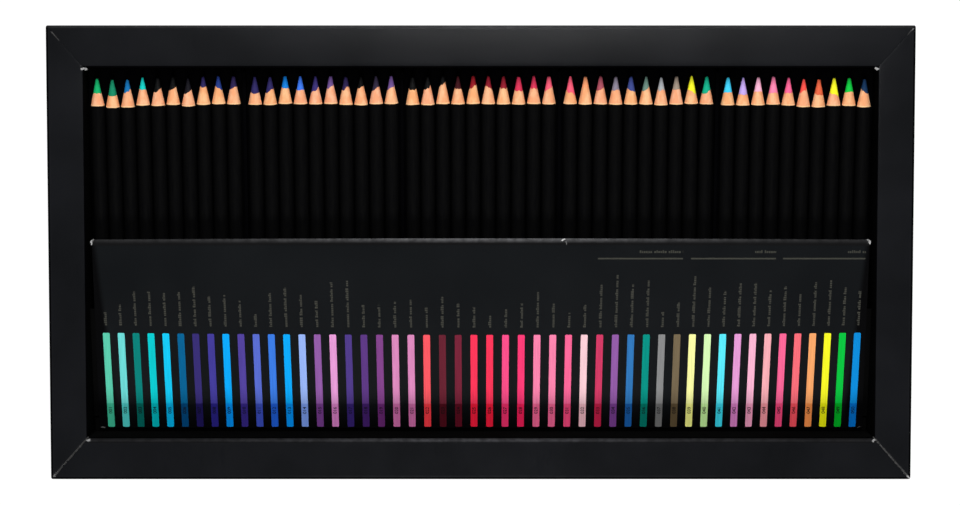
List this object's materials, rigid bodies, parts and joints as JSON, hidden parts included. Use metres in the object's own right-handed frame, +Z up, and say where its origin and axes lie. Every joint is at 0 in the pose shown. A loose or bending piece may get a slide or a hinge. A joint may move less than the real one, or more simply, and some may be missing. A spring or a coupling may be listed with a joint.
{
  "type": "pencil drawer",
  "caption": "Shallow paperboard drawer with hollow mitred walls. Sharpened colour pencils lie on its sloping bed, half under a sloping card printed with colour strips.",
  "frame": {"origin": "centre of the underside", "axes": "+X along the row of pencils to the right, +Y from the front wall (pencil butts) to the back wall (pencil tips), +Z up out of the open face"},
  "size_m": [0.4334, 0.228, 0.045],
  "materials": {
    "black_board": "matte",
    "printed_card": "satin",
    "grey_board": "matte",
    "black_pencil": "matte"
  },
  "bodies": {
    "tray": {"tray_shell": "black_board", "rim_bands": "black_board", "inner_walls": "black_board", "pencil_bed": "black_board", "bay_dividers": "black_board", "bed_risers": "grey_board", "butt_stop": "black_board", "index_panel": "printed_card", "panel_cleats": "black_board"},
    "pencil_01": {"pencil_01": "black_pencil"},
    "pencil_02": {"pencil_02": "black_pencil"},
    "pencil_03": {"pencil_03": "black_pencil"},
    "pencil_04": {"pencil_04": "black_pencil"},
    "pencil_05": {"pencil_05": "black_pencil"},
    "pencil_06": {"pencil_06": "black_pencil"},
    "pencil_07": {"pencil_07": "black_pencil"},
    "pencil_08": {"pencil_08": "black_pencil"},
    "pencil_09": {"pencil_09": "black_pencil"},
    "pencil_10": {"pencil_10": "black_pencil"},
    "pencil_11": {"pencil_11": "black_pencil"},
    "pencil_12": {"pencil_12": "black_pencil"},
    "pencil_13": {"pencil_13": "black_pencil"},
    "pencil_14": {"pencil_14": "black_pencil"},
    "pencil_15": {"pencil_15": "black_pencil"},
    "pencil_16": {"pencil_16": "black_pencil"},
    "pencil_17": {"pencil_17": "black_pencil"},
    "pencil_18": {"pencil_18": "black_pencil"},
    "pencil_19": {"pencil_19": "black_pencil"},
    "pencil_20": {"pencil_20": "black_pencil"},
    "pencil_21": {"pencil_21": "black_pencil"},
    "pencil_22": {"pencil_22": "black_pencil"},
    "pencil_23": {"pencil_23": "black_pencil"},
    "pencil_24": {"pencil_24": "black_pencil"},
    "pencil_25": {"pencil_25": "black_pencil"},
    "pencil_26": {"pencil_26": "black_pencil"},
    "pencil_27": {"pencil_27": "black_pencil"},
    "pencil_28": {"pencil_28": "black_pencil"},
    "pencil_29": {"pencil_29": "black_pencil"},
    "pencil_30": {"pencil_30": "black_pencil"},
    "pencil_31": {"pencil_31": "black_pencil"},
    "pencil_32": {"pencil_32": "black_pencil"},
    "pencil_33": {"pencil_33": "black_pencil"},
    "pencil_34": {"pencil_34": "black_pencil"},
    "pencil_35": {"pencil_35": "black_pencil"},
    "pencil_36": {"pencil_36": "black_pencil"},
    "pencil_37": {"pencil_37": "black_pencil"},
    "pencil_38": {"pencil_38": "black_pencil"},
    "pencil_39": {"pencil_39": "black_pencil"},
    "pencil_40": {"pencil_40": "black_pencil"},
    "pencil_41": {"pencil_41": "black_pencil"},
    "pencil_42": {"pencil_42": "black_pencil"},
    "pencil_43": {"pencil_43": "black_pencil"},
    "pencil_44": {"pencil_44": "black_pencil"},
    "pencil_45": {"pencil_45": "black_pencil"},
    "pencil_46": {"pencil_46": "black_pencil"},
    "pencil_47": {"pencil_47": "black_pencil"},
    "pencil_48": {"pencil_48": "black_pencil"},
    "pencil_49": {"pencil_49": "black_pencil"},
    "pencil_50": {"pencil_50": "black_pencil"}
  },
  "joints": [
    {"name": "pencil_01_tilt", "type": "hinge", "parent": "tray", "child": "pencil_01", "pos_m": [-0.19289, -0.08469, 0.0135], "axis": [1, 0, 0], "range_deg": [0, 6.3]},
    {"name": "pencil_02_tilt", "type": "hinge", "parent": "tray", "child": "pencil_02", "pos_m": [-0.18527, -0.08469, 0.0135], "axis": [1, 0, 0], "range_deg": [0, 6.3]},
    {"name": "pencil_03_tilt", "type": "hinge", "parent": "tray", "child": "pencil_03", "pos_m": [-0.17765, -0.08469, 0.0135], "axis": [1, 0, 0], "range_deg": [0, 6.3]},
    {"name": "pencil_04_tilt", "type": "hinge", "parent": "tray", "child": "pencil_04", "pos_m": [-0.17003, -0.08469, 0.0135], "axis": [1, 0, 0], "range_deg": [0, 6.3]},
    {"name": "pencil_05_tilt", "type": "hinge", "parent": "tray", "child": "pencil_05", "pos_m": [-0.16241, -0.08469, 0.0135], "axis": [1, 0, 0], "range_deg": [0, 6.3]},
    {"name": "pencil_06_tilt", "type": "hinge", "parent": "tray", "child": "pencil_06", "pos_m": [-0.15479, -0.08469, 0.0135], "axis": [1, 0, 0], "range_deg": [0, 6.3]},
    {"name": "pencil_07_tilt", "type": "hinge", "parent": "tray", "child": "pencil_07", "pos_m": [-0.14717, -0.08469, 0.0135], "axis": [1, 0, 0], "range_deg": [0, 6.3]},
    {"name": "pencil_08_tilt", "type": "hinge", "parent": "tray", "child": "pencil_08", "pos_m": [-0.13955, -0.08469, 0.0135], "axis": [1, 0, 0], "range_deg": [0, 6.3]},
    {"name": "pencil_09_tilt", "type": "hinge", "parent": "tray", "child": "pencil_09", "pos_m": [-0.13193, -0.08469, 0.0135], "axis": [1, 0, 0], "range_deg": [0, 6.3]},
    {"name": "pencil_10_tilt", "type": "hinge", "parent": "tray", "child": "pencil_10", "pos_m": [-0.12431, -0.08469, 0.0135], "axis": [1, 0, 0], "range_deg": [0, 6.3]},
    {"name": "pencil_11_tilt", "type": "hinge", "parent": "tray", "child": "pencil_11", "pos_m": [-0.11359, -0.08469, 0.0135], "axis": [1, 0, 0], "range_deg": [0, 6.3]},
    {"name": "pencil_12_tilt", "type": "hinge", "parent": "tray", "child": "pencil_12", "pos_m": [-0.10597, -0.08469, 0.0135], "axis": [1, 0, 0], "range_deg": [0, 6.3]},
    {"name": "pencil_13_tilt", "type": "hinge", "parent": "tray", "child": "pencil_13", "pos_m": [-0.09835, -0.08469, 0.0135], "axis": [1, 0, 0], "range_deg": [0, 6.3]},
    {"name": "pencil_14_tilt", "type": "hinge", "parent": "tray", "child": "pencil_14", "pos_m": [-0.09073, -0.08469, 0.0135], "axis": [1, 0, 0], "range_deg": [0, 6.3]},
    {"name": "pencil_15_tilt", "type": "hinge", "parent": "tray", "child": "pencil_15", "pos_m": [-0.08311, -0.08469, 0.0135], "axis": [1, 0, 0], "range_deg": [0, 6.3]},
    {"name": "pencil_16_tilt", "type": "hinge", "parent": "tray", "child": "pencil_16", "pos_m": [-0.07549, -0.08469, 0.0135], "axis": [1, 0, 0], "range_deg": [0, 6.3]},
    {"name": "pencil_17_tilt", "type": "hinge", "parent": "tray", "child": "pencil_17", "pos_m": [-0.06787, -0.08469, 0.0135], "axis": [1, 0, 0], "range_deg": [0, 6.3]},
    {"name": "pencil_18_tilt", "type": "hinge", "parent": "tray", "child": "pencil_18", "pos_m": [-0.06025, -0.08469, 0.0135], "axis": [1, 0, 0], "range_deg": [0, 6.3]},
    {"name": "pencil_19_tilt", "type": "hinge", "parent": "tray", "child": "pencil_19", "pos_m": [-0.05263, -0.08469, 0.0135], "axis": [1, 0, 0], "range_deg": [0, 6.3]},
    {"name": "pencil_20_tilt", "type": "hinge", "parent": "tray", "child": "pencil_20", "pos_m": [-0.04501, -0.08469, 0.0135], "axis": [1, 0, 0], "range_deg": [0, 6.3]},
    {"name": "pencil_21_tilt", "type": "hinge", "parent": "tray", "child": "pencil_21", "pos_m": [-0.03429, -0.08469, 0.0135], "axis": [1, 0, 0], "range_deg": [0, 6.3]},
    {"name": "pencil_22_tilt", "type": "hinge", "parent": "tray", "child": "pencil_22", "pos_m": [-0.02667, -0.08469, 0.0135], "axis": [1, 0, 0], "range_deg": [0, 6.3]},
    {"name": "pencil_23_tilt", "type": "hinge", "parent": "tray", "child": "pencil_23", "pos_m": [-0.01905, -0.08469, 0.0135], "axis": [1, 0, 0], "range_deg": [0, 6.3]},
    {"name": "pencil_24_tilt", "type": "hinge", "parent": "tray", "child": "pencil_24", "pos_m": [-0.01143, -0.08469, 0.0135], "axis": [1, 0, 0], "range_deg": [0, 6.3]},
    {"name": "pencil_25_tilt", "type": "hinge", "parent": "tray", "child": "pencil_25", "pos_m": [-0.00381, -0.08469, 0.0135], "axis": [1, 0, 0], "range_deg": [0, 6.3]},
    {"name": "pencil_26_tilt", "type": "hinge", "parent": "tray", "child": "pencil_26", "pos_m": [0.00381, -0.08469, 0.0135], "axis": [1, 0, 0], "range_deg": [0, 6.3]},
    {"name": "pencil_27_tilt", "type": "hinge", "parent": "tray", "child": "pencil_27", "pos_m": [0.01143, -0.08469, 0.0135], "axis": [1, 0, 0], "range_deg": [0, 6.3]},
    {"name": "pencil_28_tilt", "type": "hinge", "parent": "tray", "child": "pencil_28", "pos_m": [0.01905, -0.08469, 0.0135], "axis": [1, 0, 0], "range_deg": [0, 6.3]},
    {"name": "pencil_29_tilt", "type": "hinge", "parent": "tray", "child": "pencil_29", "pos_m": [0.02667, -0.08469, 0.0135], "axis": [1, 0, 0], "range_deg": [0, 6.3]},
    {"name": "pencil_30_tilt", "type": "hinge", "parent": "tray", "child": "pencil_30", "pos_m": [0.03429, -0.08469, 0.0135], "axis": [1, 0, 0], "range_deg": [0, 6.3]},
    {"name": "pencil_31_tilt", "type": "hinge", "parent": "tray", "child": "pencil_31", "pos_m": [0.04501, -0.08469, 0.0135], "axis": [1, 0, 0], "range_deg": [0, 6.3]},
    {"name": "pencil_32_tilt", "type": "hinge", "parent": "tray", "child": "pencil_32", "pos_m": [0.05263, -0.08469, 0.0135], "axis": [1, 0, 0], "range_deg": [0, 6.3]},
    {"name": "pencil_33_tilt", "type": "hinge", "parent": "tray", "child": "pencil_33", "pos_m": [0.06025, -0.08469, 0.0135], "axis": [1, 0, 0], "range_deg": [0, 6.3]},
    {"name": "pencil_34_tilt", "type": "hinge", "parent": "tray", "child": "pencil_34", "pos_m": [0.06787, -0.08469, 0.0135], "axis": [1, 0, 0], "range_deg": [0, 6.3]},
    {"name": "pencil_35_tilt", "type": "hinge", "parent": "tray", "child": "pencil_35", "pos_m": [0.07549, -0.08469, 0.0135], "axis": [1, 0, 0], "range_deg": [0, 6.3]},
    {"name": "pencil_36_tilt", "type": "hinge", "parent": "tray", "child": "pencil_36", "pos_m": [0.08311, -0.08469, 0.0135], "axis": [1, 0, 0], "range_deg": [0, 6.3]},
    {"name": "pencil_37_tilt", "type": "hinge", "parent": "tray", "child": "pencil_37", "pos_m": [0.09073, -0.08469, 0.0135], "axis": [1, 0, 0], "range_deg": [0, 6.3]},
    {"name": "pencil_38_tilt", "type": "hinge", "parent": "tray", "child": "pencil_38", "pos_m": [0.09835, -0.08469, 0.0135], "axis": [1, 0, 0], "range_deg": [0, 6.3]},
    {"name": "pencil_39_tilt", "type": "hinge", "parent": "tray", "child": "pencil_39", "pos_m": [0.10597, -0.08469, 0.0135], "axis": [1, 0, 0], "range_deg": [0, 6.3]},
    {"name": "pencil_40_tilt", "type": "hinge", "parent": "tray", "child": "pencil_40", "pos_m": [0.11359, -0.08469, 0.0135], "axis": [1, 0, 0], "range_deg": [0, 6.3]},
    {"name": "pencil_41_tilt", "type": "hinge", "parent": "tray", "child": "pencil_41", "pos_m": [0.12431, -0.08469, 0.0135], "axis": [1, 0, 0], "range_deg": [0, 6.3]},
    {"name": "pencil_42_tilt", "type": "hinge", "parent": "tray", "child": "pencil_42", "pos_m": [0.13193, -0.08469, 0.0135], "axis": [1, 0, 0], "range_deg": [0, 6.3]},
    {"name": "pencil_43_tilt", "type": "hinge", "parent": "tray", "child": "pencil_43", "pos_m": [0.13955, -0.08469, 0.0135], "axis": [1, 0, 0], "range_deg": [0, 6.3]},
    {"name": "pencil_44_tilt", "type": "hinge", "parent": "tray", "child": "pencil_44", "pos_m": [0.14717, -0.08469, 0.0135], "axis": [1, 0, 0], "range_deg": [0, 6.3]},
    {"name": "pencil_45_tilt", "type": "hinge", "parent": "tray", "child": "pencil_45", "pos_m": [0.15479, -0.08469, 0.0135], "axis": [1, 0, 0], "range_deg": [0, 6.3]},
    {"name": "pencil_46_tilt", "type": "hinge", "parent": "tray", "child": "pencil_46", "pos_m": [0.16241, -0.08469, 0.0135], "axis": [1, 0, 0], "range_deg": [0, 6.3]},
    {"name": "pencil_47_tilt", "type": "hinge", "parent": "tray", "child": "pencil_47", "pos_m": [0.17003, -0.08469, 0.0135], "axis": [1, 0, 0], "range_deg": [0, 6.3]},
    {"name": "pencil_48_tilt", "type": "hinge", "parent": "tray", "child": "pencil_48", "pos_m": [0.17765, -0.08469, 0.0135], "axis": [1, 0, 0], "range_deg": [0, 6.3]},
    {"name": "pencil_49_tilt", "type": "hinge", "parent": "tray", "child": "pencil_49", "pos_m": [0.18527, -0.08469, 0.0135], "axis": [1, 0, 0], "range_deg": [0, 6.3]},
    {"name": "pencil_50_tilt", "type": "hinge", "parent": "tray", "child": "pencil_50", "pos_m": [0.19289, -0.08469, 0.0135], "axis": [1, 0, 0], "range_deg": [0, 6.3]}
  ]
}
